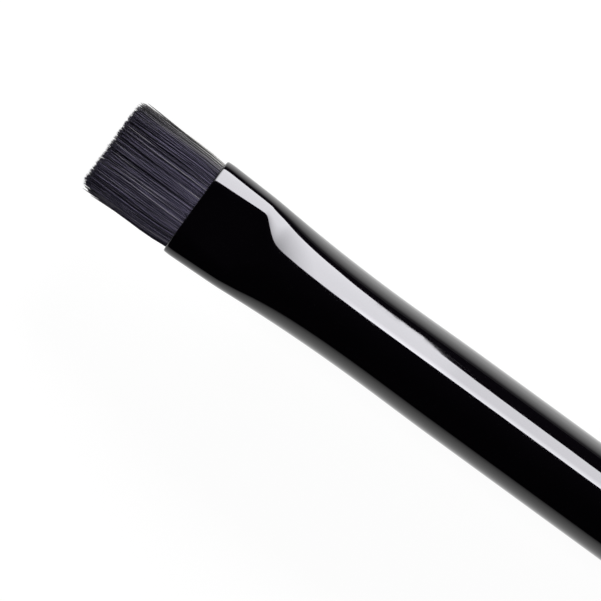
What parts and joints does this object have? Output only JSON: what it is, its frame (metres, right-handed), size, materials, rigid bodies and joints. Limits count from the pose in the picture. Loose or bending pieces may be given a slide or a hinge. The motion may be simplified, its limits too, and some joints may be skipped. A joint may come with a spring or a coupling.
{
  "type": "eyebrow brush",
  "caption": "Slim eyebrow brush: long tapered lacquered handle, tubular ferrule pressed flat at its mouth, short square-cut flat tuft that flexes.",
  "frame": {"origin": "under the middle of the brush's length, level with the lowest line of the handle's belly", "axes": "+X along the brush from the bristles to the tail, +Z square to the flat faces of the head"},
  "size_m": [0.168, 0.0078, 0.0078],
  "materials": {
    "lacquered_wood": "black gloss lacquer over turned hardwood",
    "lacquered_aluminium": "black gloss lacquer over drawn aluminium",
    "filaments": "satin, fine synthetic filaments",
    "set_filaments": "filaments set in resin",
    "thread": "matt cotton thread",
    "epoxy": "set amber resin",
    "glue": "set adhesive film"
  },
  "bodies": {
    "stick": {"handle": "lacquered_wood", "handle_glue": "glue", "ferrule": "lacquered_aluminium", "epoxy_plug": "epoxy", "bristle_root": "set_filaments", "root_tie": "thread"},
    "tuft": {"bristle_tuft": "filaments"}
  },
  "joints": [
    {"name": "bristle_flex", "type": "hinge", "parent": "stick", "child": "tuft", "pos_m": [-0.0767, 0, 0.0039], "axis": [0, 1, 0], "range_deg": [-25, 25], "stiffness_Nm_per_rad": 0.002}
  ]
}
